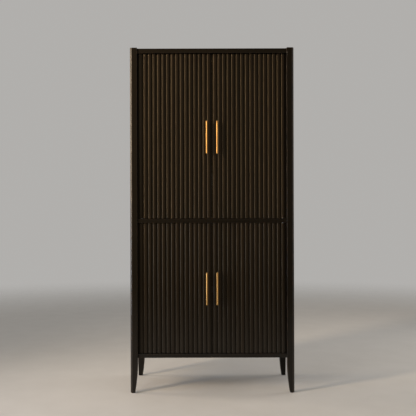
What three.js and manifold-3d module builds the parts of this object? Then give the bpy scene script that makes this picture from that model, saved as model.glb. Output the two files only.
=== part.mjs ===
// Bar armoire: a tall cabinet in two tiers, of dark stained wood with reeded doors, on four tapered legs.
// Millimetres, +Z up, the doors face -Y, and the origin is on the floor under the middle of the armoire.
import * as THREE from 'three';
import { mergeVertices } from 'three/addons/utils/BufferGeometryUtils.js';
import Module from 'manifold-3d';

const wasm = await Module();
wasm.setup();

// Overall size
const caseWidth = 1022;
const caseDepth = 508;
const overallHeight = 2152;

// Fits and cuts
const seatGap = 0.3;
const overrun = 5;

// Corner posts, whose lower ends are the legs
const postSize = 45;
const postRounding = 13;
const postRoundingSteps = 6;
const postRise = 4;
const legHeight = 218;
const footSize = 28;
const legSteps = 8;

// Glides under the feet
const glideDiameter = 17;
const glideThickness = 3;
const glideEdge = 0.8;
const glideSides = 20;

// Front rails
const railSetback = 9;
const topRailHeight = 29;
const middleRailHeight = 26;
const middleRailTop = 1086;
const bottomRailHeight = 24;
const tenonLength = 12;
const tenonShoulder = 6;

// Boards of the case
const caseBoardThickness = 18;
const sideThickness = 20;
const sideInset = 4;
const backThickness = 8;
const grooveDepth = 8;
const dadoDepth = 6;
const rabbetWidth = 10;

// Doors
const doorGap = 3;
const doorRecess = 11;
const doorBoardThickness = 18;
const webThickness = 2;
const reedCount = 16;
const reedRise = 8;
const reedSpacing = 4.3;
const reedMargin = 5.5;
const reedArcSteps = 3;

// Pivot hinges, two leaves each, let into the door's edge and into the rail
const pivotInset = 22;
const leafLength = 50;
const leafWidth = 10;
const leafThickness = 3;
const leafWall = 1;
const leafLead = 7;
const pinDiameter = 6;
const pinClearance = 0.5;
const pinSides = 16;

// Bar pulls
const pullLength = 202;
const pullCentres = 152;
const pullDiameter = 13;
const pullPostDiameter = 8;
const pullFingerGap = 22;
const pullInset = 31;
const pullEdge = 1.2;
const pullSides = 16;
const upperPullDrop = 10;
const lowerPullDrop = 2;

// Magnetic catches and their strikes
const catchWidth = 60;
const catchDepth = 18;
const catchOverlap = 16;
const strikeWidth = 20;
const strikeHeight = 14;
const strikeThickness = 1.5;
const strikeInset = 6;

// Shelves and the mirror; a shelf's top stands at its share of the clear height of its tier
const shelfThickness = 18;
const swingClearance = 5;
const barShelfShare = 0.34;
const glassShelfShare = 0.676;
const lowerShelfShare = 0.458;
const mirrorThickness = 4;
const mirrorMargin = 6;

// Stemware rack, a board with slots that open to the front
const rackThickness = 12;
const rackDrop = 46;
const rackDepth = 260;
const rackSlots = 8;
const slotWidth = 16;
const slotHeel = 35;
const slotMouthWidth = 36;
const slotMouthLength = 22;

// Bottle cradles, two boards with a row of hollows
const cradleHeight = 70;
const cradleThickness = 18;
const cradleSpacing = 220;
const cradleLead = 25;
const hollowCount = 8;
const hollowRadius = 43;
const hollowDepth = 30;
const hollowArcSteps = 4;

// Heights worked out from the floor
const caseTop = overallHeight - postRise;
const topRailBottom = caseTop - topRailHeight;
const middleRailBottom = middleRailTop - middleRailHeight;
const bottomRailTop = legHeight + bottomRailHeight;
const topBoardUnderside = caseTop - caseBoardThickness;
const dividerUnderside = middleRailTop - caseBoardThickness;
const upperClearHeight = topBoardUnderside - middleRailTop;
const barShelfTop = middleRailTop + barShelfShare * upperClearHeight;
const glassShelfTop = middleRailTop + glassShelfShare * upperClearHeight;
const lowerShelfTop = bottomRailTop + lowerShelfShare * (dividerUnderside - bottomRailTop);
const rackTop = topBoardUnderside - rackDrop;

// Distances from the middle plane
const halfWidth = caseWidth / 2;
const postInner = halfWidth - postSize;
const sideOuter = halfWidth - sideInset;
const sideInner = sideOuter - sideThickness;
const boardReach = sideInner + dadoDepth - seatGap;
const doorWidth = postInner - 3 * doorGap / 2;
const pivotX = postInner - doorGap - pivotInset;

// Depths behind the front faces of the posts
const crestY = railSetback + doorRecess;
const webY = crestY + reedRise;
const facingBack = webY + webThickness;
const doorFront = facingBack + seatGap;
const doorBack = doorFront + doorBoardThickness;
const pivotY = doorFront + leafWall + leafWidth / 2;
const shelfFront = pivotY + Math.hypot(pivotInset, doorBack - pivotY) + swingClearance;
const railBack = Math.max(postSize, pivotY + leafWidth / 2 + leafWall);
const boardFront = railBack + seatGap;
const backFace = caseDepth - backThickness;
const boardBack = backFace - seatGap;
const pullAxisY = crestY - pullFingerGap - pullDiameter / 2;

// The pulls stand in front of the posts, so the front of the posts lies behind the front of the whole
const pullProud = Math.max(0, pullDiameter / 2 - pullAxisY);
const frontY = (pullProud - caseDepth) / 2;

// Finishes
const darkWood = { color: 0x2b2119, roughness: 0.5, metalness: 0 };
const postWood = { color: 0x241c15, roughness: 0.45, metalness: 0 };
const insideWood = { color: 0x3a2c20, roughness: 0.6, metalness: 0 };
const agedBrass = { color: 0xb98a4e, roughness: 0.3, metalness: 1 };
const steel = { color: 0x8f8d88, roughness: 0.4, metalness: 1 };
const silvered = { color: 0xd7dcdd, roughness: 0.03, metalness: 1 };
const nylon = { color: 0x1b1a19, roughness: 0.6, metalness: 0 };

const unitX = new THREE.Vector3(1, 0, 0);
const unitY = new THREE.Vector3(0, 1, 0);
const unitZ = new THREE.Vector3(0, 0, 1);
const towardFront = new THREE.Vector3(0, -1, 0);

// Quarter turns: the first stands y upright and points z to the front, the second lays z across the width
const yToUpright = new THREE.Matrix4().makeBasis(unitX, unitZ, towardFront);
const zToAcross = new THREE.Matrix4().makeBasis(unitY, unitZ, unitX);

function outline(points) {
  return new THREE.Shape(points.map(([x, y]) => new THREE.Vector2(x, y)));
}

// A shape in x and y, running up z
function upright(shape, bottom, top, arcSteps = 1) {
  const settings = { depth: top - bottom, bevelEnabled: false, curveSegments: arcSteps };
  return new THREE.ExtrudeGeometry(shape, settings).translate(0, 0, bottom);
}

// A shape in x and z, running along y
function alongDepth(shape, front, back, arcSteps = 1) {
  return upright(shape, -back, -front, arcSteps).applyMatrix4(yToUpright);
}

// A shape in y and z, running along x
function alongWidth(shape, left, right) {
  return upright(shape, left, right).applyMatrix4(zToAcross);
}

function block(x0, x1, y0, y1, z0, z1) {
  const geometry = new THREE.BoxGeometry(Math.abs(x1 - x0), Math.abs(y1 - y0), Math.abs(z1 - z0));
  return geometry.translate((x0 + x1) / 2, (y0 + y1) / 2, (z0 + z1) / 2);
}

// A turned piece about the z axis, with a small bevel at both ends where one is given
function turned(radius, bottom, top, bevel, sides) {
  const lower = bevel > 0 ? [[radius - bevel, bottom], [radius, bottom + bevel]] : [[radius, bottom]];
  const upper = bevel > 0 ? [[radius, top - bevel], [radius - bevel, top]] : [[radius, top]];
  const profile = [[0, bottom], ...lower, ...upper, [0, top]];
  const points = profile.map(([r, z]) => new THREE.Vector2(r, z));
  return new THREE.LatheGeometry(points, sides).applyMatrix4(yToUpright);
}

function solid(geometry) {
  const bare = geometry.clone();
  bare.deleteAttribute('normal');
  bare.deleteAttribute('uv');
  const merged = mergeVertices(bare);
  const vertProperties = new Float32Array(merged.attributes.position.array);
  const triVerts = new Uint32Array(merged.index.array);
  return new wasm.Manifold(new wasm.Mesh({ numProp: 3, vertProperties, triVerts }));
}

function geometryOf(piece) {
  const { vertProperties, triVerts } = piece.getMesh();
  const geometry = new THREE.BufferGeometry();
  geometry.setAttribute('position', new THREE.BufferAttribute(vertProperties, 3));
  geometry.setIndex(new THREE.BufferAttribute(triVerts, 1));
  geometry.computeVertexNormals();
  return geometry;
}

function cutAway(geometry, cuts) {
  return geometryOf(cuts.reduce((piece, cut) => piece.subtract(solid(cut)), solid(geometry)));
}

function joined(geometries) {
  return geometryOf(geometries.map(solid).reduce((whole, piece) => whole.add(piece)));
}

// Adds a piece modelled in the group's frame, and gives it an origin of its own at the point named
function add(group, name, geometry, finish, x, y, z) {
  const mesh = new THREE.Mesh(geometry.translate(-x, -y, -z), new THREE.MeshStandardMaterial(finish));
  mesh.name = name;
  mesh.position.set(x, y, z);
  group.add(mesh);
}

const armoire = new THREE.Group();
const carcass = new THREE.Group();
carcass.position.set(0, frontY, 0);
armoire.add(carcass);

const sides = [{ word: 'left', sign: -1 }, { word: 'right', sign: 1 }];
const ends = [{ word: 'front', sign: -1 }, { word: 'back', sign: 1 }];

// Posts: the two inner faces draw in below the case along a curve that starts upright
function legProfile(outer, sign, extra) {
  const points = [[0, glideThickness - extra], [footSize, glideThickness - extra]];
  for (let step = extra > 0 ? 0 : 1; step <= legSteps; step += 1) {
    const riseShare = step / legSteps;
    const widthShare = 1 - (1 - riseShare) ** 2;
    const inward = footSize + (postSize - footSize) * widthShare;
    points.push([inward, glideThickness + (legHeight - glideThickness) * riseShare]);
  }
  points.push([postSize, overallHeight + extra], [0, overallHeight + extra]);
  return outline(points.map(([inward, z]) => [outer - sign * inward, z]));
}

// The waste outside the rounded outer corner
function cornerWaste(x, y, signX, signY) {
  const points = [[-overrun, postRounding], [-overrun, -overrun], [postRounding, -overrun]];
  for (let step = 0; step <= postRoundingSteps; step += 1) {
    const angle = (Math.PI / 2) * (step / postRoundingSteps);
    points.push([postRounding * (1 - Math.sin(angle)), postRounding * (1 - Math.cos(angle))]);
  }
  const placed = points.map(([inX, inY]) => [x - signX * inX, y - signY * inY]);
  return upright(outline(placed), -overrun, overallHeight + overrun);
}

function railTenonCut(sign, bottom, top) {
  const bounds = [railSetback + tenonShoulder - seatGap, postSize - tenonShoulder + seatGap];
  const depth = sign * (postInner + tenonLength + seatGap);
  const low = bottom + tenonShoulder - seatGap;
  const high = top - tenonShoulder + seatGap;
  return block(sign * (postInner - overrun), depth, ...bounds, low, high);
}

function addPost(side, end) {
  const outerX = side.sign * halfWidth;
  const outerY = end.sign < 0 ? 0 : caseDepth;
  const innerY = outerY - end.sign * postSize;
  const acrossX = [outerX + side.sign * overrun, outerX - side.sign * (postSize + overrun)].sort((a, b) => a - b);
  const acrossY = [outerY + end.sign * overrun, innerY - end.sign * overrun].sort((a, b) => a - b);
  const seenFromFront = alongDepth(legProfile(outerX, side.sign, 0), ...acrossY);
  const seenFromSide = alongWidth(legProfile(outerY, end.sign, overrun), ...acrossX);
  const cuts = [cornerWaste(outerX, outerY, side.sign, end.sign)];
  const grooveX = [side.sign * (sideInner - seatGap), side.sign * (sideOuter + seatGap)];
  const grooveY = [innerY + end.sign * grooveDepth, innerY - end.sign * overrun];
  cuts.push(block(...grooveX, ...grooveY, legHeight - seatGap, caseTop + seatGap));
  if (end.sign < 0) {
    cuts.push(railTenonCut(side.sign, legHeight, bottomRailTop));
    cuts.push(railTenonCut(side.sign, middleRailBottom, middleRailTop));
    cuts.push(railTenonCut(side.sign, topRailBottom, caseTop));
  } else {
    const rabbetX = [side.sign * (postInner - overrun), side.sign * (postInner + rabbetWidth)];
    const rabbetY = [boardBack, caseDepth + overrun];
    cuts.push(block(...rabbetX, ...rabbetY, legHeight - seatGap, caseTop + seatGap));
  }
  const leg = geometryOf(solid(seenFromFront).intersect(solid(seenFromSide)));
  add(carcass, `post_${end.word}_${side.word}`, cutAway(leg, cuts), postWood, outerX, outerY, 0);
}

function addGlide(side, end) {
  const x = side.sign * (halfWidth - footSize / 2);
  const y = end.sign < 0 ? footSize / 2 : caseDepth - footSize / 2;
  const disc = turned(glideDiameter / 2, 0, glideThickness - seatGap, glideEdge, glideSides).translate(x, y, 0);
  add(carcass, `glide_${end.word}_${side.word}`, disc, nylon, x, y, 0);
}

for (const end of ends) {
  for (const side of sides) {
    addPost(side, end);
    addGlide(side, end);
  }
}

// Hinge leaves, seen in plan about the pivot, with the door running away from the pivot along hand
function leafBlock(hand, clearance, bottom, top) {
  const reach = [-hand * (leafLead + clearance), hand * (leafLength - leafLead + clearance)];
  return block(...reach, -leafWidth / 2 - clearance, leafWidth / 2 + clearance, bottom, top);
}

function caseLeaf(hand, bottom, top) {
  const hole = turned(pinDiameter / 2 + pinClearance, bottom - overrun, top + overrun, 0, pinSides);
  return cutAway(leafBlock(hand, 0, bottom, top), [hole]);
}

// The pin stands on the face at the door's edge and reaches through the leaf in the rail
function doorLeaf(hand, edge, outward) {
  const plate = leafBlock(hand, 0, edge - outward * leafThickness, edge);
  const tip = edge + outward * (doorGap + leafThickness - seatGap);
  const [low, high] = [edge - outward * leafThickness / 2, tip].sort((a, b) => a - b);
  return joined([plate, turned(pinDiameter / 2, low, high, 0, pinSides)]);
}

// Front rails, tenoned into the posts and let in for the leaves of the doors above and below
function addRail(name, bottom, top, doorAbove, doorBelow) {
  const reach = postInner - seatGap;
  const body = block(-reach, reach, railSetback, railBack, bottom, top);
  const tenonX = postInner + tenonLength;
  const tenonY = [railSetback + tenonShoulder, postSize - tenonShoulder];
  const tenons = block(-tenonX, tenonX, ...tenonY, bottom + tenonShoulder, top - tenonShoulder);
  const cuts = [];
  for (const side of sides) {
    const hand = -side.sign;
    const pockets = [];
    if (doorAbove) pockets.push(leafBlock(hand, seatGap, top - leafThickness - seatGap, top + overrun));
    if (doorBelow) pockets.push(leafBlock(hand, seatGap, bottom - overrun, bottom + leafThickness + seatGap));
    for (const pocket of pockets) {
      cuts.push(pocket.translate(side.sign * pivotX, pivotY, 0));
    }
  }
  add(carcass, name, cutAway(joined([body, tenons]), cuts), darkWood, 0, railSetback, bottom);
}

addRail('rail_top', topRailBottom, caseTop, false, true);
addRail('rail_middle', middleRailBottom, middleRailTop, true, true);
addRail('rail_bottom', legHeight, bottomRailTop, true, false);

// Side boards, tongued into the posts and grooved for every board that they carry
function dado(sign, front, bottom, top) {
  const reach = [sign * (sideInner - overrun), sign * (sideInner + dadoDepth)];
  return block(...reach, front - seatGap, caseDepth, bottom - seatGap, top + seatGap);
}

function addSide(side) {
  const reach = [side.sign * sideInner, side.sign * sideOuter];
  const front = postSize - grooveDepth + seatGap;
  const back = caseDepth - postSize + grooveDepth - seatGap;
  const board = block(...reach, front, back, legHeight, caseTop);
  const cuts = [
    dado(side.sign, boardFront, topBoardUnderside, caseTop + overrun),
    dado(side.sign, boardFront, dividerUnderside, middleRailTop),
    dado(side.sign, boardFront, bottomRailTop - caseBoardThickness, bottomRailTop),
    dado(side.sign, shelfFront, barShelfTop - shelfThickness, barShelfTop),
    dado(side.sign, shelfFront, glassShelfTop - shelfThickness, glassShelfTop),
    dado(side.sign, shelfFront, lowerShelfTop - shelfThickness, lowerShelfTop),
    dado(side.sign, shelfFront, rackTop - rackThickness, rackTop),
  ];
  add(carcass, `side_${side.word}`, cutAway(board, cuts), darkWood, side.sign * sideInner, front, legHeight);
}

sides.forEach(addSide);

// Level boards, notched round the back posts
function addBoard(name, front, top, thickness, finish) {
  const notchX = postInner - seatGap;
  const notchY = caseDepth - postSize - seatGap;
  const right = [[boardReach, front], [boardReach, notchY], [notchX, notchY], [notchX, boardBack]];
  const left = right.map(([x, y]) => [-x, y]).reverse();
  const board = upright(outline([...right, ...left]), top - thickness, top);
  add(carcass, name, board, finish, 0, front, top - thickness);
}

addBoard('top_board', boardFront, caseTop, caseBoardThickness, darkWood);
addBoard('divider_board', boardFront, middleRailTop, caseBoardThickness, insideWood);
addBoard('bottom_board', boardFront, bottomRailTop, caseBoardThickness, insideWood);
addBoard('glass_shelf', shelfFront, glassShelfTop, shelfThickness, insideWood);
addBoard('bar_shelf', shelfFront, barShelfTop, shelfThickness, insideWood);
addBoard('lower_shelf', shelfFront, lowerShelfTop, shelfThickness, insideWood);

// Back boards, let into the back posts from behind, meeting behind the divider
function addBack(name, bottom, top) {
  const reach = postInner + rabbetWidth - seatGap;
  add(carcass, name, block(-reach, reach, backFace, caseDepth, bottom, top), insideWood, 0, backFace, bottom);
}

const backSeam = middleRailTop - caseBoardThickness / 2;
addBack('back_upper', backSeam + seatGap / 2, caseTop);
addBack('back_lower', legHeight, backSeam - seatGap / 2);

// Mirror behind the serving space, standing on the divider
function addMirror() {
  const reach = postInner - mirrorMargin;
  const front = boardBack - mirrorThickness;
  const bottom = middleRailTop + seatGap;
  const top = barShelfTop - shelfThickness - mirrorMargin;
  add(carcass, 'bar_mirror', block(-reach, reach, front, boardBack, bottom, top), silvered, 0, front, bottom);
}

addMirror();

// Stemware rack: the feet of the glasses run in the space above the board
function addRack() {
  const slotPitch = 2 * sideInner / rackSlots;
  const points = [[-boardReach, shelfFront + rackDepth], [-boardReach, shelfFront]];
  for (let slot = 0; slot < rackSlots; slot += 1) {
    const x = (slot + 1 / 2) * slotPitch - sideInner;
    const end = shelfFront + rackDepth - slotHeel;
    const throat = shelfFront + slotMouthLength;
    points.push([x - slotMouthWidth / 2, shelfFront], [x - slotWidth / 2, throat], [x - slotWidth / 2, end]);
    points.push([x + slotWidth / 2, end], [x + slotWidth / 2, throat], [x + slotMouthWidth / 2, shelfFront]);
  }
  points.push([boardReach, shelfFront], [boardReach, shelfFront + rackDepth]);
  const board = upright(outline(points), rackTop - rackThickness, rackTop);
  add(carcass, 'stemware_rack', board, insideWood, 0, shelfFront, rackTop - rackThickness);
}

addRack();

// Bottle cradles: each hollow is an arc that the top edge cuts off
function addCradle(name, front) {
  const reach = sideInner - seatGap;
  const bottom = bottomRailTop + seatGap;
  const top = bottom + cradleHeight;
  const pitch = 2 * sideInner / hollowCount;
  const centreRise = hollowRadius - hollowDepth;
  const tilt = Math.asin(centreRise / hollowRadius);
  const shape = outline([[-reach, bottom], [reach, bottom], [reach, top]]);
  for (let hollow = hollowCount - 1; hollow >= 0; hollow -= 1) {
    const x = (hollow + 1 / 2) * pitch - sideInner;
    shape.lineTo(x + hollowRadius * Math.cos(tilt), top);
    shape.absarc(x, top + centreRise, hollowRadius, -tilt, tilt - Math.PI, true);
  }
  shape.lineTo(-reach, top);
  const board = alongDepth(shape, front, front + cradleThickness, hollowArcSteps);
  add(carcass, name, board, insideWood, 0, front, bottom);
}

addCradle('bottle_cradle_front', shelfFront + cradleLead);
addCradle('bottle_cradle_back', shelfFront + cradleLead + cradleSpacing);

// Doors: each is built about its pivot, with its bottom edge at height zero
function reededFacing(hand, height, pullHeight) {
  const hingeEdge = -hand * pivotInset;
  const meetingEdge = hand * (doorWidth - pivotInset);
  const left = Math.min(hingeEdge, meetingEdge);
  const right = Math.max(hingeEdge, meetingEdge);
  const pitch = (doorWidth - 2 * reedMargin + reedSpacing) / reedCount;
  const halfReed = (pitch - reedSpacing) / 2;
  const radius = (halfReed ** 2 + reedRise ** 2) / (2 * reedRise);
  const tilt = Math.asin((radius - reedRise) / radius);
  const web = webY - pivotY;
  const shape = outline([[left, facingBack - pivotY], [right, facingBack - pivotY], [right, web]]);
  for (let reed = reedCount - 1; reed >= 0; reed -= 1) {
    const x = left + reedMargin + halfReed + reed * pitch;
    shape.lineTo(x + halfReed, web);
    shape.absarc(x, web + radius - reedRise, radius, -tilt, tilt - Math.PI, true);
  }
  shape.lineTo(left, web);
  const pockets = [-1, 1].map((end) => pullPost(hand, pullHeight + end * pullCentres / 2, seatGap));
  return cutAway(upright(shape, 0, height, reedArcSteps), pockets);
}

function pullX(hand) {
  return hand * (doorWidth - pivotInset - pullInset);
}

// One post of a pull; with a clearance it is the round pocket that the post passes through
function pullPost(hand, height, clearance) {
  const radius = pullPostDiameter / 2 + clearance;
  const end = clearance > 0 ? doorFront + overrun : doorFront - seatGap;
  const pin = turned(radius, pivotY - end, pivotY - pullAxisY, 0, pullSides);
  return pin.applyMatrix4(yToUpright).translate(pullX(hand), 0, height);
}

function pull(hand, height) {
  const bar = turned(pullDiameter / 2, -pullLength / 2, pullLength / 2, pullEdge, pullSides);
  bar.translate(pullX(hand), pullAxisY - pivotY, height);
  return joined([bar, pullPost(hand, height - pullCentres / 2, 0), pullPost(hand, height + pullCentres / 2, 0)]);
}

function addDoor(tier, side) {
  const hand = -side.sign;
  const height = tier.top - tier.bottom;
  const pullHeight = height / 2 - tier.pullDrop;
  const word = `${tier.word}_${side.word}`;
  const door = new THREE.Group();
  door.position.set(side.sign * pivotX, pivotY, tier.bottom);
  carcass.add(door);

  const reach = [-hand * pivotInset, hand * (doorWidth - pivotInset)];
  const front = doorFront - pivotY;
  const back = doorBack - pivotY;
  const board = block(...reach, front, back, 0, height);
  const mortises = [
    leafBlock(hand, seatGap, -overrun, leafThickness + seatGap),
    leafBlock(hand, seatGap, height - leafThickness - seatGap, height + overrun),
  ];
  const meeting = reach[1];
  add(door, `door_board_${word}`, cutAway(board, mortises), darkWood, 0, front, 0);
  add(door, `door_reeding_${word}`, reededFacing(hand, height, pullHeight), darkWood, 0, front, 0);
  add(door, `pull_${word}`, pull(hand, pullHeight), agedBrass, pullX(hand), front, pullHeight);
  add(door, `hinge_leaf_${word}_bottom`, doorLeaf(hand, 0, -1), steel, 0, 0, 0);
  add(door, `hinge_leaf_${word}_top`, doorLeaf(hand, height, 1), steel, 0, 0, height);

  const strikeEdge = meeting - hand * strikeInset;
  const strikeX = [strikeEdge, strikeEdge - hand * strikeWidth];
  const strikeY = [back + seatGap, back + seatGap + strikeThickness];
  const strikeTop = height - (catchOverlap - strikeHeight) / 2;
  const strike = block(...strikeX, ...strikeY, strikeTop - strikeHeight, strikeTop);
  add(door, `strike_${word}`, strike, steel, strikeEdge, strikeY[0], strikeTop);
}

// The leaves in the rails above and below a door
function addCaseLeaves(tier, side) {
  const hand = -side.sign;
  const [x, y] = [side.sign * pivotX, pivotY];
  const low = tier.bottom - doorGap;
  const high = tier.top + doorGap;
  const lowLeaf = caseLeaf(hand, low - leafThickness, low).translate(x, y, 0);
  const highLeaf = caseLeaf(hand, high, high + leafThickness).translate(x, y, 0);
  add(carcass, `rail_leaf_${tier.word}_${side.word}_bottom`, lowLeaf, steel, x, y, low);
  add(carcass, `rail_leaf_${tier.word}_${side.word}_top`, highLeaf, steel, x, y, high);
}

// A double magnetic catch hangs under the board above each pair of doors, behind their top edges
function addCatch(tier) {
  const front = doorBack + seatGap + strikeThickness + seatGap;
  const bottom = tier.top - catchOverlap;
  const top = tier.boardAbove - seatGap;
  const body = block(-catchWidth / 2, catchWidth / 2, front, front + catchDepth, bottom, top);
  add(carcass, `catch_${tier.word}`, body, nylon, 0, front, top);
}

const tiers = [
  {
    word: 'upper',
    bottom: middleRailTop + doorGap,
    top: topRailBottom - doorGap,
    boardAbove: topBoardUnderside,
    pullDrop: upperPullDrop,
  },
  {
    word: 'lower',
    bottom: bottomRailTop + doorGap,
    top: middleRailBottom - doorGap,
    boardAbove: dividerUnderside,
    pullDrop: lowerPullDrop,
  },
];

for (const tier of tiers) {
  for (const side of sides) {
    addDoor(tier, side);
    addCaseLeaves(tier, side);
  }
  addCatch(tier);
}

export default armoire;
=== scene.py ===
import math
import random

import bmesh
import bpy
from mathutils import Matrix, Vector


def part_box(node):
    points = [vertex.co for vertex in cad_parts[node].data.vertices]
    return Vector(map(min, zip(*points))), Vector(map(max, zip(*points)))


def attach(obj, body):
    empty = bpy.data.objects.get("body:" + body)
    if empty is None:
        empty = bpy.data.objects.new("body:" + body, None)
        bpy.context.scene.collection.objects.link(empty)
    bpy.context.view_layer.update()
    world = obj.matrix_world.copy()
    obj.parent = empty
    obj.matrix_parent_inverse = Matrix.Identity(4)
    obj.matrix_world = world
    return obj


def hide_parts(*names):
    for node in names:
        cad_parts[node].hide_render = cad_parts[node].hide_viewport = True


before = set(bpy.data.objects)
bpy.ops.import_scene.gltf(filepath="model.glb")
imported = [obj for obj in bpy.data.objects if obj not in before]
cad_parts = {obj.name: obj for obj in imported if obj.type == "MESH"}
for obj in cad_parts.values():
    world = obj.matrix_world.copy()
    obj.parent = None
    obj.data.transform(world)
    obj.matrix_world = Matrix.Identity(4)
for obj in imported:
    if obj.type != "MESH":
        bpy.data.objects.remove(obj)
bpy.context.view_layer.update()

MM = 0.001
LET_IN = 0.3 * MM
DADO_GAP = 0.2 * MM
OVERCUT = 1 * MM
WIDE_OVERCUT = 5 * MM
TOWARD_BACK = Matrix.Rotation(-math.pi / 2, 4, "X")
SIDES = {"left": -1, "right": 1}
TIERS = ("upper", "lower")
chance = random.Random(16)

# Camera, set from the feet, the post tops and the back legs in the photograph
LENS = 57
CAMERA_DISTANCE = 4.10
CAMERA_HEIGHT = 1.046
CAMERA_ACROSS = -0.026
CAMERA_LIFT = 0.041
CAMERA_ROLL = math.radians(0.15)

# Colours of the finishes, the floor and the surround
FRAME_DARK = (0.0026, 0.0021, 0.0014, 1)
FRAME_LIGHT = (0.0068, 0.0051, 0.0034, 1)
REED_DARK = (0.0037, 0.0026, 0.0014, 1)
REED_LIGHT = (0.0096, 0.0060, 0.0031, 1)
ESPRESSO_RUBBED = (0.0850, 0.0480, 0.0240, 1)
INSIDE_DARK = (0.0200, 0.0120, 0.0070, 1)
INSIDE_LIGHT = (0.0520, 0.0320, 0.0185, 1)
# Grey mixed into the wood low down: some dust, and painted light thrown back by the floor
DUST_AND_BOUNCE_LIGHT = (0.0240, 0.0236, 0.0225, 1)
LACQUER_GLINT = (1.0, 0.77, 0.50, 1)
RUBBED_GLINT = (1.0, 0.90, 0.76, 1)
BRASS_BRIGHT = (0.3600, 0.2000, 0.0620, 1)
BRASS_DULL = (0.2150, 0.1120, 0.0350, 1)
STEEL_BRIGHT = (0.46, 0.45, 0.43, 1)
STEEL_STAINED = (0.29, 0.28, 0.26, 1)
NYLON_BLACK = (0.010, 0.010, 0.011, 1)
NYLON_SCUFFED = (0.030, 0.029, 0.028, 1)
SILVER_CLEAR = (0.60, 0.60, 0.58, 1)
SILVER_CLOUDY = (0.34, 0.33, 0.31, 1)
SILVER_SPECK = (0.10, 0.09, 0.08, 1)
FLOOR_DARK = (0.52, 0.505, 0.485, 1)
FLOOR_LIGHT = (0.58, 0.565, 0.545, 1)
SURROUND = (0.44, 0.43, 0.415, 1)

# Heights between which the dust and the painted light thrown back by the floor thin out on the wood
DUST_AND_BOUNCE_FROM = 0.02
DUST_AND_BOUNCE_TO = 0.70


class Reading:
    """A value inside a finish. The Python operators on it add the Math nodes."""

    def __init__(self, finish, socket):
        self.finish = finish
        self.socket = socket

    def worked(self, operation, *values):
        return self.finish.node("Math", {"operation": operation}, dict(enumerate(values)))

    def __add__(self, other):
        return self.worked("ADD", self, other)

    def __radd__(self, other):
        return self.worked("ADD", other, self)

    def __sub__(self, other):
        return self.worked("SUBTRACT", self, other)

    def __rsub__(self, other):
        return self.worked("SUBTRACT", other, self)

    def __mul__(self, other):
        return self.worked("MULTIPLY", self, other)

    def __rmul__(self, other):
        return self.worked("MULTIPLY", other, self)

    def rising(self, low, high):
        """0 below low, 1 above high, and an even curve between."""
        settings = {"interpolation_type": "SMOOTHSTEP"}
        return self.finish.node("MapRange", settings, {0: self, 1: low, 2: high, 3: 0.0, 4: 1.0})


class Finish:
    """One material, built node by node."""

    def __init__(self, name):
        self.material = bpy.data.materials.new(name)
        self.material.use_nodes = True
        self.tree = self.material.node_tree
        self.tree.nodes.clear()

    def node(self, kind, settings=None, inputs=None, output=0):
        made = self.tree.nodes.new("ShaderNode" + kind)
        for setting, value in (settings or {}).items():
            setattr(made, setting, value)
        for socket, value in (inputs or {}).items():
            if isinstance(value, Reading):
                self.tree.links.new(value.socket, made.inputs[socket])
            else:
                made.inputs[socket].default_value = value
        return Reading(self, made.outputs[output])

    def place(self):
        return self.node("TexCoord", output="Object")

    def mark(self, name):
        """A number that the mesh carries on its faces."""
        return self.node("Attribute", {"attribute_name": name}, output="Fac")

    def noise(self, vector, scale, detail=2.0, roughness=0.5):
        inputs = {"Vector": vector, "Scale": scale, "Detail": detail, "Roughness": roughness}
        return self.node("TexNoise", None, inputs)

    def stretched(self, vector, scale):
        return self.node("Mapping", None, {"Vector": vector, "Scale": scale})

    def blended(self, share, first, second):
        return self.node("Mix", {"data_type": "RGBA"}, {0: share, 6: first, 7: second}, output=2)

    def bump(self, height, depth, strength=1.0):
        return self.node("Bump", None, {"Height": height, "Distance": depth, "Strength": strength})

    def shader(self, **sockets):
        named = {name.replace("_", " "): value for name, value in sockets.items()}
        return self.node("BsdfPrincipled", None, named)

    def surfaced(self, shader):
        surface = self.tree.nodes.new("ShaderNodeOutputMaterial").inputs["Surface"]
        self.tree.links.new(shader.socket, surface)
        return self.material


def stained_wood(name, grain, dark, light, sheen, wear, gloss):
    """Open-pored wood under a dark stain and a satin lacquer. The grain runs along one axis, 0, 1 or 2."""
    finish = Finish(name)
    board = finish.mark("board")
    shift = finish.node("CombineXYZ", None, {"X": board * 3.7, "Y": board * 2.3, "Z": board * 5.1})
    place = finish.node("VectorMath", {"operation": "ADD"}, {0: finish.place(), 1: shift})

    def streaks(across, lengthwise, detail, roughness=0.5):
        scale = [across] * 3
        scale[grain] = lengthwise
        return finish.noise(finish.stretched(place, scale), 1.0, detail, roughness)

    figure = streaks(38, 1.1, 3.0, 0.6)
    fibres = streaks(560, 1.5, 2.0)
    pores = streaks(1500, 42, 1.0).rising(0.60, 0.72)
    cloud = finish.noise(place, 3.2, 2.0)
    tint = (0.62 * figure + 0.30 * fibres + 0.26 * cloud + 0.22 * board - 0.22).rising(0.18, 0.82)
    stain = finish.blended(tint, dark, light)
    filled = finish.blended(0.55 * pores, stain, dark)
    height = finish.node("SeparateXYZ", None, {0: finish.place()}, output="Z")
    # Lighter towards the floor: some dust, and painted bounce light from the floor
    low_down = 1.0 - height.rising(DUST_AND_BOUNCE_FROM, DUST_AND_BOUNCE_TO)
    dusty_and_bounce_lit = finish.blended(low_down * (0.2 + 0.5 * cloud), filled, DUST_AND_BOUNCE_LIGHT)
    edge = finish.mark("arris")
    worn = edge * finish.noise(place, 46, 3.0).rising(0.42, 0.66) * wear
    relief = 0.4 * fibres + 0.2 * figure - 0.6 * pores
    return finish.surfaced(finish.shader(
        Base_Color=finish.blended(worn, dusty_and_bounce_lit, ESPRESSO_RUBBED),
        Roughness=sheen + 0.10 * fibres + 0.08 * cloud + 0.12 * pores - 0.10 * worn,
        Normal=finish.bump(relief, 0.06 * MM, 0.5),
        Specular_IOR_Level=gloss,
        Specular_Tint=LACQUER_GLINT,
        Coat_Weight=edge.rising(0.0, 0.3) * 0.5,
        Coat_Roughness=0.30,
        Coat_Tint=RUBBED_GLINT,
    ))


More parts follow.
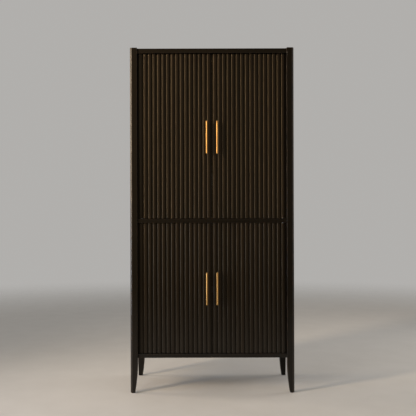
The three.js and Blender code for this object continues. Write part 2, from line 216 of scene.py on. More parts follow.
def satin_brass(name):
    """Brass brushed along the bar, dulled where no hand rubs it."""
    finish = Finish(name)
    place = finish.place()
    strokes = finish.noise(finish.stretched(place, (1900, 1900, 26)), 1.0, 2.0)
    patina = finish.noise(place, 34, 4.0, 0.6).rising(0.40, 0.74)
    spots = finish.noise(place, 310, 2.0).rising(0.66, 0.80)
    dull = 0.34 * patina + 0.14 * spots + 0.16 * strokes
    return finish.surfaced(finish.shader(
        Base_Color=finish.blended(dull, BRASS_BRIGHT, BRASS_DULL),
        Metallic=1.0,
        Roughness=0.26 + 0.12 * strokes + 0.08 * patina,
        Normal=finish.bump(strokes + 0.4 * spots, 0.01 * MM, 0.6),
    ))


def plated_steel(name):
    """Steel fittings with fine mill lines and a dull nickel plate."""
    finish = Finish(name)
    place = finish.place()
    lines = finish.noise(finish.stretched(place, (90, 2100, 2100)), 1.0, 2.0)
    stain = finish.noise(place, 60, 3.0).rising(0.45, 0.75)
    return finish.surfaced(finish.shader(
        Base_Color=finish.blended(stain, STEEL_BRIGHT, STEEL_STAINED),
        Metallic=1.0,
        Roughness=0.30 + 0.12 * lines + 0.15 * stain,
        Normal=finish.bump(lines, 0.03 * MM, 0.6),
    ))


def moulded_nylon(name):
    """Black nylon with the fine texture of its mould."""
    finish = Finish(name)
    place = finish.place()
    texture = finish.noise(place, 900, 3.0)
    scuffs = finish.noise(place, 120, 3.0).rising(0.55, 0.75)
    return finish.surfaced(finish.shader(
        Base_Color=finish.blended(scuffs, NYLON_BLACK, NYLON_SCUFFED),
        Roughness=0.52 + 0.12 * texture + 0.10 * scuffs,
        Normal=finish.bump(texture, 0.08 * MM, 0.7),
        Specular_IOR_Level=0.4,
    ))


def silvered_glass(name):
    """An aged mirror, with cloudy patches and dark specks in its silvering."""
    finish = Finish(name)
    place = finish.place()
    bloom = finish.noise(place, 7, 4.0, 0.6)
    cloudy = bloom.rising(0.50, 0.74)
    specks = finish.noise(place, 150, 3.0).rising(0.62, 0.72) * cloudy
    silver = finish.blended(cloudy, SILVER_CLEAR, SILVER_CLOUDY)
    return finish.surfaced(finish.shader(
        Base_Color=finish.blended(specks, silver, SILVER_SPECK),
        Metallic=1.0,
        Roughness=0.03 + 0.14 * cloudy + 0.20 * specks,
        Normal=finish.bump(bloom, 0.05 * MM, 0.1),
    ))


def choose(piece):
    """Makes one piece the only one that the operators act on."""
    bpy.ops.object.select_all(action="DESELECT")
    piece.select_set(True)
    bpy.context.view_layer.objects.active = piece


def placed(name):
    """Names the new primitive, and moves its size and place into its mesh."""
    piece = bpy.context.object
    bpy.ops.object.transform_apply(location=True, rotation=True, scale=True)
    piece.name = piece.data.name = name
    return piece


def block(name, low, high):
    bpy.ops.object.select_all(action="DESELECT")
    low, high = Vector(low), Vector(high)
    bpy.ops.mesh.primitive_cube_add(size=1, location=(low + high) / 2, scale=high - low)
    return placed(name)


def rod(name, start, end, radius, sides):
    bpy.ops.object.select_all(action="DESELECT")
    start, end = Vector(start), Vector(end)
    turn = (end - start).to_track_quat("Z", "Y").to_euler()
    bpy.ops.mesh.primitive_cylinder_add(
        vertices=sides, radius=radius, depth=(end - start).length, location=(start + end) / 2, rotation=turn
    )
    return placed(name)


class Bench:
    """Edit mode on one piece, whose faces and edges are picked by place, normal or sharpness."""

    def __init__(self, piece):
        self.piece = piece

    def __enter__(self):
        choose(self.piece)
        bpy.ops.object.mode_set(mode="EDIT")
        return self

    def __exit__(self, *error):
        bpy.ops.object.mode_set(mode="OBJECT")

    def shape(self):
        return bmesh.from_edit_mesh(self.piece.data)

    def pick_all(self):
        bpy.ops.mesh.select_mode(type="FACE")
        bpy.ops.mesh.select_all(action="SELECT")

    def pick_faces(self, wanted):
        bpy.ops.mesh.select_mode(type="FACE")
        bpy.ops.mesh.select_all(action="DESELECT")
        for face in self.shape().faces:
            if wanted(face.calc_center_median(), face.normal):
                face.select_set(True)
        bmesh.update_edit_mesh(self.piece.data)

    def pick_edges(self, wanted, sharper_than=math.radians(35)):
        bpy.ops.mesh.select_mode(type="EDGE")
        bpy.ops.mesh.select_all(action="DESELECT")
        for edge in self.shape().edges:
            middle = (edge.verts[0].co + edge.verts[1].co) / 2
            run = (edge.verts[1].co - edge.verts[0].co).normalized()
            if edge.is_manifold and edge.calc_face_angle() > sharper_than and wanted(middle, run):
                edge.select_set(True)
        bmesh.update_edit_mesh(self.piece.data)

    def bevel(self, width, segments, mark=1.0):
        """Bevels what is picked, and marks the new, narrow faces as arris, where the finish is rubbed."""
        bpy.ops.mesh.bevel(offset=width, segments=segments, profile=0.5, affect="EDGES", clamp_overlap=True)
        shape = self.shape()
        arris = shape.faces.layers.float.get("arris") or shape.faces.layers.float.new("arris")
        for face in shape.faces:
            if face.select and min(edge.calc_length() for edge in face.edges) < width:
                face[arris] = mark
        bmesh.update_edit_mesh(self.piece.data)

    def inset(self, width):
        bpy.ops.mesh.inset(thickness=width)

    def push(self, move):
        bpy.ops.transform.translate(value=move)

    def extrude(self, move):
        bpy.ops.mesh.extrude_region_move(TRANSFORM_OT_translate={"value": move})

    def scale_about(self, centre, scale):
        bpy.ops.transform.resize(value=scale, center_override=centre)

    def cut_along(self, point, normal):
        """Adds an edge loop where a plane crosses the piece."""
        self.pick_all()
        bpy.ops.mesh.bisect(plane_co=point, plane_no=normal)


def everywhere(*_):
    return True


def ease(piece, width, segments=2, wanted=everywhere):
    """Softens the sharp arrises of a piece."""
    with Bench(piece) as bench:
        bench.pick_edges(wanted)
        bench.bevel(width, segments)


def use_modifier(piece, kind, **settings):
    choose(piece)
    modifier = piece.modifiers.new(kind.lower(), kind)
    for setting, value in settings.items():
        setattr(modifier, setting, value)
    bpy.ops.object.modifier_apply(modifier=modifier.name)


def cut_out(piece, *cutters):
    for cutter in cutters:
        use_modifier(piece, "BOOLEAN", operation="DIFFERENCE", solver="EXACT", object=cutter)
        bpy.data.objects.remove(cutter)


def joined(name, pieces):
    choose(pieces[0])
    for piece in pieces:
        piece.select_set(True)
    bpy.ops.object.join()
    pieces[0].name = pieces[0].data.name = name
    return pieces[0]


def copied(piece, name, placing):
    """A copy with a mesh of its own. A mirrored one has its faces turned out again."""
    copy = piece.copy()
    copy.data = piece.data.copy()
    bpy.context.collection.objects.link(copy)
    copy.name = copy.data.name = name
    copy.data.transform(placing)
    if placing.determinant() < 0:
        with Bench(copy) as bench:
            bench.pick_all()
            bpy.ops.mesh.normals_make_consistent(inside=False)
    return copy


def moved(x, y, z, flip=(1, 1, 1)):
    """A placing: mirrored first along the axes where flip is -1, then moved."""
    return Matrix.Translation((x, y, z)) @ Matrix.Diagonal((*flip, 1))


def number_board(piece, value=None):
    """Gives every face the number that sets a board's own figure and tone."""
    marks = piece.data.attributes.new("board", "FLOAT", "FACE")
    number = chance.random() if value is None else value
    marks.data.foreach_set("value", [number] * len(piece.data.polygons))


def finished(piece, material, slot, body, *nodes):
    """The last work on a piece: shading, finish, and the nodes that it stands for."""
    choose(piece)
    bpy.ops.object.shade_smooth_by_angle(angle=math.radians(50))
    use_modifier(piece, "WEIGHTED_NORMAL", keep_sharp=True, weight=80)
    piece.data.materials.append(material)
    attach(piece, body)
    if nodes:
        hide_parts(*nodes)


def extent(node):
    """A CAD node's lowest corner, its highest corner and its middle."""
    low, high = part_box(node)
    return low, high, (low + high) / 2


UPRIGHT_WOOD = stained_wood("espresso_upright", 2, FRAME_DARK, FRAME_LIGHT, 0.33, 0.50, 0.09)
REED_WOOD = stained_wood("espresso_reeds", 2, REED_DARK, REED_LIGHT, 0.24, 0.45, 0.17)
LEVEL_WOOD = stained_wood("espresso_level", 0, FRAME_DARK, FRAME_LIGHT, 0.37, 0.30, 0.08)
SHELF_WOOD = stained_wood("inside_level", 0, INSIDE_DARK, INSIDE_LIGHT, 0.48, 0.50, 0.25)
BACK_WOOD = stained_wood("inside_upright", 2, INSIDE_DARK, INSIDE_LIGHT, 0.52, 0.40, 0.25)
BRASS = satin_brass("satin_brass")
STEEL = plated_steel("plated_steel")
NYLON = moulded_nylon("black_nylon")
MIRROR = silvered_glass("silvered_glass")


# Posts, legs and glides
POST_ROUNDING = 13 * MM
POST_ARRIS = 1.6 * MM
LEG_HEIGHT = 218 * MM
LEG_STEPS = 18
FOOT_SIZE = 28 * MM
GLIDE_EASE = 1.0 * MM
NAIL_RADIUS = 4.2 * MM
NAIL_DEPTH = 1.0 * MM
NAIL_RIM = 0.5 * MM


def model_post():
    """The front left post. Below the case its two inner faces draw in to the foot."""
    low, high, _ = extent("post_front_left")
    post = block("front_left_post", (low.x, low.y, LEG_HEIGHT), high)
    size = high.x - low.x
    step = (LEG_HEIGHT - low.z) / LEG_STEPS
    width = size
    with Bench(post) as bench:
        bench.pick_faces(lambda centre, normal: normal.z < -0.9)
        for count in range(1, LEG_STEPS + 1):
            share = count / LEG_STEPS
            narrowed = FOOT_SIZE + (size - FOOT_SIZE) * (1 - share ** 2)
            bench.extrude((0, 0, -step))
            bench.scale_about((low.x, low.y, 0), (narrowed / width, narrowed / width, 1))
            width = narrowed
        outer = Vector((low.x, low.y))
        bench.pick_edges(lambda at, run: abs(run.z) > 0.9 and (at.xy - outer).length < MM)
        bench.bevel(POST_ROUNDING, 10, 0.3)
    ease(post, POST_ARRIS, 3)
    return post


def cut_rabbet(post, side, sign):
    """Cuts the step in a back post that takes the edge of the back boards."""
    low, high, _ = extent(f"post_back_{side}")
    board_low, board_high, _ = extent("back_upper")
    inner = min(abs(low.x), abs(high.x)) - WIDE_OVERCUT
    across = sorted((sign * inner, sign * (board_high.x + LET_IN)))
    step_low = (across[0], board_low.y - LET_IN, LEG_HEIGHT - LET_IN)
    step_high = (across[1], high.y + WIDE_OVERCUT, board_high.z + LET_IN)
    cut_out(post, block("rabbet", step_low, step_high))


def add_posts():
    post = model_post()
    front = extent("post_front_left")[0].y
    back = extent("post_back_left")[1].y
    for end, flip in (("front", 1), ("back", -1)):
        for side, sign in SIDES.items():
            depth = front + back if end == "back" else 0
            piece = copied(post, f"{end}_{side}_post_wood", moved(0, depth, 0, (-sign, flip, 1)))
            if end == "back":
                cut_rabbet(piece, side, sign)
            number_board(piece)
            finished(piece, UPRIGHT_WOOD, "post_wood", "case", f"post_{end}_{side}")
    bpy.data.objects.remove(post)


def add_glides():
    """Nylon glides, each with the head of its nail sunk in the underside."""
    low, high, middle = extent("glide_front_left")
    radius = (high.x - low.x) / 2
    glide = rod("glide", (middle.x, middle.y, low.z), (middle.x, middle.y, high.z), radius, 40)
    with Bench(glide) as bench:
        bench.pick_edges(lambda at, run: at.z < middle.z)
        bench.bevel(GLIDE_EASE, 4)
        bench.pick_faces(lambda at, normal: normal.z < -0.99)
        bench.inset(radius - NAIL_RADIUS)
        bench.extrude((0, 0, NAIL_DEPTH))
        bench.inset(NAIL_RIM)
        bench.extrude((0, 0, -NAIL_DEPTH / 2))
    for end in ("front", "back"):
        for side in SIDES:
            centre = extent(f"glide_{end}_{side}")[2]
            placing = moved(centre.x - middle.x, centre.y - middle.y, 0)
            piece = copied(glide, f"{end}_{side}_glide", placing)
            finished(piece, NYLON, "nylon", "case", f"glide_{end}_{side}")
    bpy.data.objects.remove(glide)


# Front rails
RAIL_ARRIS = 1.2 * MM
POCKET_OVERCUT = 6 * MM


def add_rails():
    """Rails between the posts, with a pocket for each hinge leaf."""
    post_face = extent("post_front_right")[0].x
    leaves = [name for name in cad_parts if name.startswith("rail_leaf")]
    gap = Vector((LET_IN, LET_IN, LET_IN))
    for word in ("top", "middle", "bottom"):
        low, high, _ = extent(f"rail_{word}")
        rail = block(f"{word}_rail", (-post_face, low.y, low.z), (post_face, high.y, high.z))
        ease(rail, RAIL_ARRIS, 3, lambda at, run: abs(run.x) > 0.9)
        for leaf in leaves:
            leaf_low, leaf_high, middle = extent(leaf)
            if low.z < middle.z < high.z:
                pocket_low, pocket_high = leaf_low - gap, leaf_high + gap
                if abs(leaf_high.z - high.z) < MM:
                    pocket_high.z += POCKET_OVERCUT
                else:
                    pocket_low.z -= POCKET_OVERCUT
                cut_out(rail, block("pocket", pocket_low, pocket_high))
        number_board(rail)
        finished(rail, LEVEL_WOOD, "dark_wood", "case", f"rail_{word}")


# Case boards
BOARD_ARRIS = 0.8 * MM


def add_sides():
    """Side boards, stopped at the posts, with the step at the top that takes the top board."""
    front = extent("post_front_left")[1].y
    back = extent("post_back_left")[0].y
    top_low, top_high, _ = extent("top_board")
    for side, sign in SIDES.items():
        low, high, _ = extent(f"side_{side}")
        board = block(f"{side}_side", (low.x, front, low.z), (high.x, back, high.z))
        inner = min(abs(low.x), abs(high.x)) - WIDE_OVERCUT
        across = sorted((sign * inner, sign * (top_high.x + LET_IN)))
        step_low = (across[0], front - OVERCUT, top_low.z - LET_IN)
        step_high = (across[1], back + OVERCUT, high.z + OVERCUT)
        cut_out(board, block("step", step_low, step_high))
        ease(board, BOARD_ARRIS)
        number_board(board)
        finished(board, UPRIGHT_WOOD, "dark_wood", "case", f"side_{side}")


def level_board(name, node, reach):
    """A board that reaches into the sides, with its back corners drawn in past the back posts."""
    low, high, _ = extent(node)
    post = extent("post_back_right")[0]
    narrow = post.x - LET_IN
    board = block(name, (-narrow, low.y, low.z), (narrow, high.y, high.z))
    with Bench(board) as bench:
        bench.cut_along((0, post.y - LET_IN, 0), (0, 1, 0))
        for sign in SIDES.values():
            bench.pick_faces(lambda at, normal: normal.x * sign > 0.9 and at.y < post.y - LET_IN)
            bench.extrude((sign * (reach - narrow), 0, 0))
    ease(board, BOARD_ARRIS)
    number_board(board)
    return board


def add_boards():
    top = level_board("top_of_case", "top_board", extent("top_board")[1].x)
    finished(top, LEVEL_WOOD, "dark_wood", "case", "top_board")
    inner = extent("side_right")[0].x - DADO_GAP
    for word in ("divider_board", "bottom_board", "glass_shelf", "bar_shelf", "lower_shelf"):
        board = level_board(word + "_wood", word, inner)
        finished(board, SHELF_WOOD, "inner_wood", "case", word)


# Back boards and their screws
SCREW_RISE = 0.35 * MM
SCREW_DEPTH = 0.6 * MM
SCREW_EASE = 0.25 * MM
CROSS_DEPTH = 0.25 * MM
CROSS_REACH = 0.62
CROSS_WIDTH = 0.13
BACK_ROWS = {"upper": 7, "lower": 6}
BACK_COLUMNS = 5
BACK_SCREW_END = 22 * MM
BACK_SCREW_SIDE = 5 * MM
BACK_SCREW_EDGE = 9 * MM


def model_screw(name, radius):
    """A flat screw head with a cross cut in it, lying face up on the origin."""
    head = rod(name, (0, 0, -SCREW_DEPTH), (0, 0, SCREW_RISE), radius, 24)
    with Bench(head) as bench:
        bench.pick_edges(lambda at, run: at.z > 0)
        bench.bevel(SCREW_EASE, 2)
    reach, width = radius * CROSS_REACH, radius * CROSS_WIDTH
    for along, across in ((reach, width), (width, reach)):
        cut_out(head, block("slot", (-along, -across, -CROSS_DEPTH), (along, across, OVERCUT)))
    return head


def add_backs(screw):
    """Back boards, screwed to the back posts and to the boards of the case."""
    for tier in TIERS:
        low, high, _ = extent(f"back_{tier}")
        board = block(f"{tier}_back", low, high)
        ease(board, BOARD_ARRIS)
        number_board(board)
        finished(board, BACK_WOOD, "inner_wood", "case", f"back_{tier}")
        spots = []
        for row in range(BACK_ROWS[tier]):
            share = row / (BACK_ROWS[tier] - 1)
            z = low.z + BACK_SCREW_END + (high.z - low.z - 2 * BACK_SCREW_END) * share
            spots += [(low.x + BACK_SCREW_SIDE, z), (high.x - BACK_SCREW_SIDE, z)]
        for column in range(1, BACK_COLUMNS):
            x = low.x + (high.x - low.x) * column / BACK_COLUMNS
            spots += [(x, low.z + BACK_SCREW_EDGE), (x, high.z - BACK_SCREW_EDGE)]
        heads = []
        for number, (x, z) in enumerate(spots):
            placing = Matrix.Translation((x, high.y - SCREW_RISE, z)) @ TOWARD_BACK
            heads.append(copied(screw, f"back_screw_{number}", placing))
        finished(joined(f"{tier}_back_screws", heads), STEEL, "steel", "case")


# Mirror
MIRROR_BEVEL = 14 * MM
MIRROR_BEVEL_DEPTH = 1.6 * MM
MIRROR_EASE = 0.3 * MM


def add_mirror():
    """A mirror with a ground bevel round its face."""
    low, high, _ = extent("bar_mirror")
    glass = block("serving_mirror", low, high)
    with Bench(glass) as bench:
        bench.pick_faces(lambda at, normal: normal.y < -0.9)
        bench.inset(MIRROR_BEVEL)
        bench.pick_edges(lambda at, run: at.y < low.y + 0.1 * MM)
        bench.push((0, MIRROR_BEVEL_DEPTH, 0))
    ease(glass, MIRROR_EASE, 1)
    finished(glass, MIRROR, "mirror", "case", "bar_mirror")


# Rack and cradles
RACK_SLOTS = 8
RACK_ARRIS = 1.2 * MM
SLOT_WIDTH = 16 * MM
SLOT_MOUTH = 36 * MM
SLOT_THROAT = 22 * MM
SLOT_HEEL = 35 * MM
HOLLOWS = 8
HOLLOW_RADIUS = 43 * MM
HOLLOW_DEPTH = 30 * MM
CRADLE_ARRIS = 1.6 * MM


def add_rack():
    """The board that hangs stemware, slotted from the front with flared mouths and round slot ends."""
    low, high, middle = extent("stemware_rack")
    inner = extent("side_right")[0].x
    rack = block("hanging_rack", (-inner + DADO_GAP, low.y, low.z), (inner - DADO_GAP, high.y, high.z))
    pitch = 2 * inner / RACK_SLOTS
    half = SLOT_WIDTH / 2
    end = high.y - SLOT_HEEL - half
    front, under, over = low.y - OVERCUT, low.z - OVERCUT, high.z + OVERCUT
    for count in range(RACK_SLOTS):
        x = (count + 0.5) * pitch - inner
        slot = block("slot", (x - half, front, under), (x + half, end, over))
        mouth = block("mouth", (x - half, front, under), (x + half, low.y + SLOT_THROAT, over))
        with Bench(mouth) as bench:
            bench.pick_faces(lambda at, normal: normal.y < -0.9)
            bench.scale_about((x, low.y, middle.z), (SLOT_MOUTH / SLOT_WIDTH, 1, 1))
        round_end = rod("round_end", (x, end, under), (x, end, over), half, 32)
        cut_out(rack, slot, mouth, round_end)
    ease(rack, RACK_ARRIS, 3)
    number_board(rack)
    finished(rack, SHELF_WOOD, "inner_wood", "case", "stemware_rack")


def add_cradles():
    """Two boards with a row of round hollows for bottles."""
    inner = extent("side_right")[0].x
    pitch = 2 * inner / HOLLOWS
    for word in ("front", "back"):
        low, high, _ = extent(f"bottle_cradle_{word}")
        board = block(f"{word}_cradle", low, high)
        z = high.z + HOLLOW_RADIUS - HOLLOW_DEPTH
        for count in range(HOLLOWS):
            x = (count + 0.5) * pitch - inner
            ends = (x, low.y - OVERCUT, z), (x, high.y + OVERCUT, z)
            cut_out(board, rod("hollow", *ends, HOLLOW_RADIUS, 72))
        ease(board, CRADLE_ARRIS, 3)
        number_board(board)
        finished(board, SHELF_WOOD, "inner_wood", "case", f"bottle_cradle_{word}")


# Doors
REEDS = 16
REED_RISE = 8 * MM
REED_SUNK = 0.3 * MM
REED_SPACING = 4.3 * MM
REED_MARGIN = 5.5 * MM
REED_SHOULDER = 7 * MM
REED_CROWN = 0.8 * MM
REED_CROWN_WIDTH = 4 * MM
REED_END = 0.8 * MM
BACKING_EASE = 0.5 * MM
BACKING_NUMBER = 0.1
DOOR_ARRIS = 1.0 * MM
LEAF_DEPTH = 3 * MM


def model_reed(tier, half, web):
    """One reed with round shoulders and a low crown, at x = 0 and as long as its doors are high."""
    low, high, _ = extent(f"door_reeding_{tier}_right")
    reed = block("reed", (-half, low.y, low.z), (half, web + REED_SUNK, high.z))

    def on_shoulder(at, run):
        return abs(run.z) > 0.5 and at.y < low.y + MM and abs(at.x) > MM

    def on_crown(at, run):
        return abs(run.z) > 0.5 and abs(at.x) < 0.1 * MM

    def on_end(at, run):
        return abs(run.z) < 0.5 and at.y < web

    with Bench(reed) as bench:
        bench.cut_along((0, 0, 0), (1, 0, 0))
        bench.pick_edges(on_shoulder)
        bench.push((0, REED_CROWN, 0))
        bench.pick_edges(on_shoulder)
        bench.bevel(REED_SHOULDER, 10, 0)
        bench.pick_edges(on_crown, math.radians(5))
        bench.bevel(REED_CROWN_WIDTH, 3, 0)
        bench.pick_edges(on_end, math.radians(80))
        bench.bevel(REED_END, 2)
    return reed


def add_facings():
    """The reeded face of each door: sixteen reeds on a thin backing."""
    for tier in TIERS:
        low, high, _ = extent(f"door_reeding_{tier}_right")
        pitch = (high.x - low.x - 2 * REED_MARGIN + REED_SPACING) / REEDS
        half = (pitch - REED_SPACING) / 2
        web = low.y + REED_RISE
        reed = model_reed(tier, half, web)
        for side in SIDES:
            low, high, _ = extent(f"door_reeding_{tier}_{side}")
            backing = block("backing", (low.x, web, low.z), high)
            ease(backing, BACKING_EASE, 1, lambda at, run: at.y < web + MM)
            number_board(backing, BACKING_NUMBER)
            strips = [backing]
            for count in range(REEDS):
                strip = copied(reed, "strip", moved(low.x + REED_MARGIN + half + count * pitch, 0, 0))
                number_board(strip)
                strips.append(strip)
            facing = joined(f"{tier}_{side}_reeds", strips)
            finished(facing, REED_WOOD, "dark_wood", f"{tier}_{side}_door", f"door_reeding_{tier}_{side}")
        bpy.data.objects.remove(reed)


def add_door_boards():
    """The board behind each facing, with mortises for the hinge leaves in its top and bottom edges."""
    for tier in TIERS:
        for side in SIDES:
            low, high, _ = extent(f"door_board_{tier}_{side}")
            board = block(f"{tier}_{side}_door_board", low, high)
            ease(board, DOOR_ARRIS, 2)
            mortises = {
                "bottom": (low.z - OVERCUT, low.z + LEAF_DEPTH + LET_IN),
                "top": (high.z - LEAF_DEPTH - LET_IN, high.z + OVERCUT),
            }
            for end, (bottom, top) in mortises.items():
                leaf_low, leaf_high, _ = extent(f"rail_leaf_{tier}_{side}_{end}")
                mortise_low = (leaf_low.x - LET_IN, leaf_low.y - LET_IN, bottom)
                mortise_high = (leaf_high.x + LET_IN, leaf_high.y + LET_IN, top)
                cut_out(board, block("mortise", mortise_low, mortise_high))
            number_board(board)
            finished(board, UPRIGHT_WOOD, "dark_wood", f"{tier}_{side}_door", f"door_board_{tier}_{side}")


# Pulls
PULL_CENTRES = 152 * MM
PULL_END_EASE = 1.3 * MM
PULL_POST_RADIUS = 4 * MM
PULL_POST_SUNK = 0.8 * MM
FILLET_SINK = 0.4 * MM
FILLET_HEIGHT = 1.6 * MM
FILLET_SPREAD = 1.3
FILLET_WAIST = 0.85


def model_pull(name, node):
    """A round bar on two posts, with eased ends and a small fillet where each post meets the bar."""
    low, high, middle = extent(node)
    radius = (high.x - low.x) / 2
    axis = low.y + radius
    bar = rod("bar", (middle.x, axis, low.z), (middle.x, axis, high.z), radius, 48)
    with Bench(bar) as bench:
        bench.pick_edges(lambda at, run: abs(at.z - low.z) < MM or abs(at.z - high.z) < MM)
        bench.bevel(PULL_END_EASE, 4)
    parts = [bar]
    start = axis + radius - PULL_POST_SUNK
    waist = start + FILLET_HEIGHT
    for end in (-1, 1):
        z = middle.z + end * PULL_CENTRES / 2
        post = rod("post", (middle.x, start, z), (middle.x, high.y, z), PULL_POST_RADIUS, 32)
        with Bench(post) as bench:
            bench.pick_faces(lambda at, normal: normal.y < -0.9)
            bench.scale_about((middle.x, start, z), (FILLET_SPREAD, 1, FILLET_SPREAD))
            bench.push((0, -FILLET_SINK, 0))
            bench.cut_along((0, waist, 0), (0, 1, 0))
            bench.pick_edges(lambda at, run: abs(at.y - waist) < 0.2 * MM, -1)
            bench.scale_about((middle.x, waist, z), (FILLET_WAIST, 1, FILLET_WAIST))
        parts.append(post)
    return joined(name, parts)


def add_pulls():
    for tier in TIERS:
        for side in SIDES:
            node = f"pull_{tier}_{side}"
            pull = model_pull(f"{tier}_{side}_bar_pull", node)
            finished(pull, BRASS, "brass", f"{tier}_{side}_door", node)


# Pivot hinges
LEAF_LEAD = 7 * MM
LEAF_LENGTH = 50 * MM
LEAF_HALF_WIDTH = 5 * MM
LEAF_CORNER = 1.4 * MM
LEAF_EASE = 0.3 * MM
LEAF_SCREWS = (17 * MM, 34 * MM)
LEAF_SCREW_SUNK = 0.15 * MM
PIN_RADIUS = 3 * MM
PIN_LENGTH = 5.7 * MM
PIN_EASE = 0.6 * MM
PIN_PLAY = 0.5 * MM


def model_leaf(screw, with_pin):
    """A leaf whose outer face lies on z = 0 and whose pivot is the origin, running along +x."""
    low, high = (-LEAF_LEAD, -LEAF_HALF_WIDTH, -LEAF_DEPTH), (LEAF_LENGTH - LEAF_LEAD, LEAF_HALF_WIDTH, 0)
    leaf = block("leaf", low, high)
    ease(leaf, LEAF_CORNER, 3, lambda at, run: abs(run.z) > 0.9)
    ease(leaf, LEAF_EASE, 2, lambda at, run: at.z > -0.1 * MM)
    parts = [leaf]
    if with_pin:
        pin = rod("pin", (0, 0, -MM), (0, 0, PIN_LENGTH), PIN_RADIUS, 32)
        ease(pin, PIN_EASE, 3, lambda at, run: at.z > PIN_LENGTH - MM)
        parts.append(pin)
    else:
        cut_out(leaf, rod("hole", (0, 0, -2 * LEAF_DEPTH), (0, 0, LEAF_DEPTH), PIN_RADIUS + PIN_PLAY, 32))
    for x in LEAF_SCREWS:
        parts.append(copied(screw, "leaf_screw", moved(x, 0, -LEAF_SCREW_SUNK)))
    return joined("leaf_model", parts)


def add_hinges(screw):
    """A leaf with a pin in each door's top and bottom edge, and one with a hole in the rail beside it."""
    door_leaf = model_leaf(screw, True)
    rail_leaf = model_leaf(screw, False)
    for tier in TIERS:
        for side, sign in SIDES.items():
            board_low, board_high, _ = extent(f"door_board_{tier}_{side}")
            for end, up in (("bottom", -1), ("top", 1)):
                node = f"rail_leaf_{tier}_{side}_{end}"
                low, high, middle = extent(node)
                pivot = sign * (max(abs(low.x), abs(high.x)) - LEAF_LEAD)
                face = high.z if up < 0 else low.z
                placing = moved(pivot, middle.y, face, (-sign, 1, -up))
                piece = copied(rail_leaf, f"{tier}_{side}_{end}_rail_leaf", placing)
                finished(piece, STEEL, "steel", "case", node)
                edge = board_low.z if up < 0 else board_high.z
                placing = moved(pivot, middle.y, edge, (-sign, 1, up))
                piece = copied(door_leaf, f"{tier}_{side}_{end}_door_leaf", placing)
                finished(piece, STEEL, "steel", f"{tier}_{side}_door", f"hinge_leaf_{tier}_{side}_{end}")
    bpy.data.objects.remove(door_leaf)
    bpy.data.objects.remove(rail_leaf)


# Catches and strikes
CATCH_CORNER = 1.5 * MM
WELL_ACROSS = 14 * MM
WELL_HALF_WIDTH = 10 * MM
WELL_HEIGHTS = (4 * MM, 14 * MM)
WELL_DEPTH = 2 * MM
POLE_OFFSETS = (-8 * MM, 6 * MM)
POLE_WIDTH = 2 * MM
POLE_HEIGHTS = (4.6 * MM, 13.4 * MM)
POLE_DEPTHS = (0.2 * MM, 3 * MM)
POLE_EASE = 0.3 * MM
STRIKE_CORNER = 1.2 * MM
STRIKE_EASE = 0.3 * MM
STRIKE_SCREW_SUNK = 0.4 * MM


def add_catches():
    """Double magnetic catches: a nylon body with a pair of steel poles for each door's strike."""
    for tier in TIERS:
        low, high, middle = extent(f"catch_{tier}")
        body = block(f"{tier}_catch_body", low, high)
        with Bench(body) as bench:
            bench.pick_edges(lambda at, run: abs(run.z) > 0.9 or at.z < middle.z)
            bench.bevel(CATCH_CORNER, 3)
        bottom, top = (low.z + height for height in WELL_HEIGHTS)
        pole_bottom, pole_top = (low.z + height for height in POLE_HEIGHTS)
        pole_front, pole_back = (low.y + depth for depth in POLE_DEPTHS)
        poles = []
        for sign in SIDES.values():
            x = sign * WELL_ACROSS
            well_low = (x - WELL_HALF_WIDTH, low.y - OVERCUT, bottom)
            well_high = (x + WELL_HALF_WIDTH, low.y + WELL_DEPTH, top)
            cut_out(body, block("well", well_low, well_high))
            for offset in POLE_OFFSETS:
                pole_low = (x + offset, pole_front, pole_bottom)
                pole_high = (x + offset + POLE_WIDTH, pole_back, pole_top)
                pole = block("pole", pole_low, pole_high)
                ease(pole, POLE_EASE, 1)
                poles.append(pole)
        finished(body, NYLON, "nylon", "case", f"catch_{tier}")
        finished(joined(f"{tier}_catch_poles", poles), STEEL, "steel", "case")


def add_strikes(screw):
    """A steel strike on each door's back, with its screw."""
    for tier in TIERS:
        for side in SIDES:
            low, high, middle = extent(f"strike_{tier}_{side}")
            plate = block("plate", low, (high.x, high.y - LET_IN, high.z))
            ease(plate, STRIKE_CORNER, 3, lambda at, run: abs(run.y) > 0.9)
            ease(plate, STRIKE_EASE, 1, lambda at, run: at.y > middle.y)
            placing = Matrix.Translation((middle.x, high.y - STRIKE_SCREW_SUNK, middle.z)) @ TOWARD_BACK
            strike = joined(f"{tier}_{side}_strike", [plate, copied(screw, "head", placing)])
            finished(strike, STEEL, "steel", f"{tier}_{side}_door", f"strike_{tier}_{side}")


# Floor, lamps and camera
FLOOR_RADIUS = 9
FLOOR_FADE = (3.5, 8.5)


def add_floor():
    """A pale floor that fades into the surround round its rim."""
    bpy.ops.object.select_all(action="DESELECT")
    bpy.ops.mesh.primitive_circle_add(vertices=96, radius=FLOOR_RADIUS, fill_type="NGON")
    floor = placed("floor")
    finish = Finish("pale_floor")
    place = finish.place()
    distance = finish.node("VectorMath", {"operation": "LENGTH"}, {0: place}, output="Value")
    mottle = finish.noise(place, 5, 3.0)
    matt = finish.shader(
        Base_Color=finish.blended(mottle, FLOOR_DARK, FLOOR_LIGHT),
        Roughness=0.9,
        Specular_IOR_Level=0.1,
    )
    clear = finish.node("BsdfTransparent")
    mixed = finish.node("MixShader", None, {0: distance.rising(*FLOOR_FADE), 1: matt, 2: clear})
    floor.data.materials.append(finish.surfaced(mixed))


def add_softbox(name, place, aim, width, height, power, colour, spread):
    data = bpy.data.lights.new(name, "AREA")
    data.shape = "RECTANGLE"
    data.size, data.size_y = width, height
    data.energy = power
    data.color = colour
    data.spread = math.radians(spread)
    lamp = bpy.data.objects.new(name, data)
    lamp.location = place
    lamp.visible_camera = False
    lamp.rotation_euler = (Vector(aim) - Vector(place)).to_track_quat("-Z", "Y").to_euler()
    bpy.context.collection.objects.link(lamp)


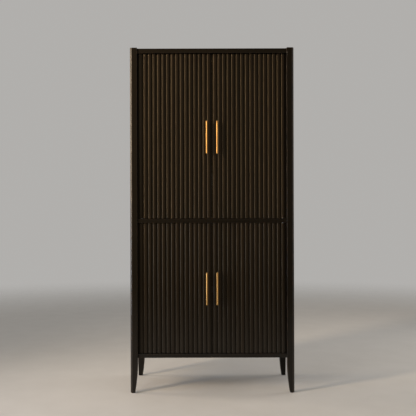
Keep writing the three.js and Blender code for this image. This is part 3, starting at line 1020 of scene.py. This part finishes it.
def add_lights():
    """A narrow warm key from the left draws the strips on the reeds, in an even pale surround.

    The soft box and the fill light the front, the rim and the side box the flanks, and the low one,
    cooler, stands for the light that a lit floor throws back.
    """
    world = bpy.data.worlds.new("surround")
    world.use_nodes = True
    surround = world.node_tree.nodes["Background"]
    surround.inputs["Color"].default_value = SURROUND
    surround.inputs["Strength"].default_value = 1.0
    bpy.context.scene.world = world
    add_softbox("key", (-3.2, -2.4, 2.7), (-0.5, -0.2, 2.0), 0.5, 3.2, 41, (1.0, 0.79, 0.56), 66)
    add_softbox("soft", (-2.0, -3.5, 2.4), (0, -0.1, 1.2), 1.2, 2.0, 22, (1.0, 0.90, 0.78), 150)
    add_softbox("rim", (-3.3, 0.35, 2.2), (-0.5, -0.2, 1.8), 0.8, 1.6, 18, (1.0, 0.84, 0.66), 90)
    add_softbox("fill", (3.2, -3.0, 2.0), (0, 0, 1.0), 2.0, 2.0, 5, (1.0, 0.97, 0.94), 160)
    add_softbox("low", (-3.6, -1.7, 0.72), (0, -0.2, 0.6), 1.0, 1.05, 7.4, (0.80, 0.94, 1.20), 60)
    add_softbox("side", (3.6, 1.2, 2.0), (0.4, 0.1, 1.2), 1.8, 2.4, 26, (1.0, 0.95, 0.88), 150)


def add_camera():
    data = bpy.data.cameras.new("front_view")
    data.lens = LENS
    data.sensor_width = 36
    data.shift_y = CAMERA_LIFT
    data.clip_end = 60
    camera = bpy.data.objects.new("front_view", data)
    front = extent("post_front_left")[0].y
    camera.location = (CAMERA_ACROSS, front - CAMERA_DISTANCE, CAMERA_HEIGHT)
    camera.rotation_euler = (math.pi / 2, CAMERA_ROLL, 0)
    bpy.context.collection.objects.link(camera)
    bpy.context.scene.camera = camera


add_camera()
add_lights()
add_floor()
bpy.context.scene.view_settings.view_transform = "Standard"

add_posts()
add_glides()
add_rails()
add_sides()
add_boards()
board_screw = model_screw("board_screw", 3.2 * MM)
add_backs(board_screw)
add_mirror()
add_rack()
add_cradles()
add_facings()
add_door_boards()
add_pulls()
leaf_screw = model_screw("leaf_screw_model", 2.4 * MM)
add_hinges(leaf_screw)
add_catches()
add_strikes(leaf_screw)
bpy.data.objects.remove(board_screw)
bpy.data.objects.remove(leaf_screw)
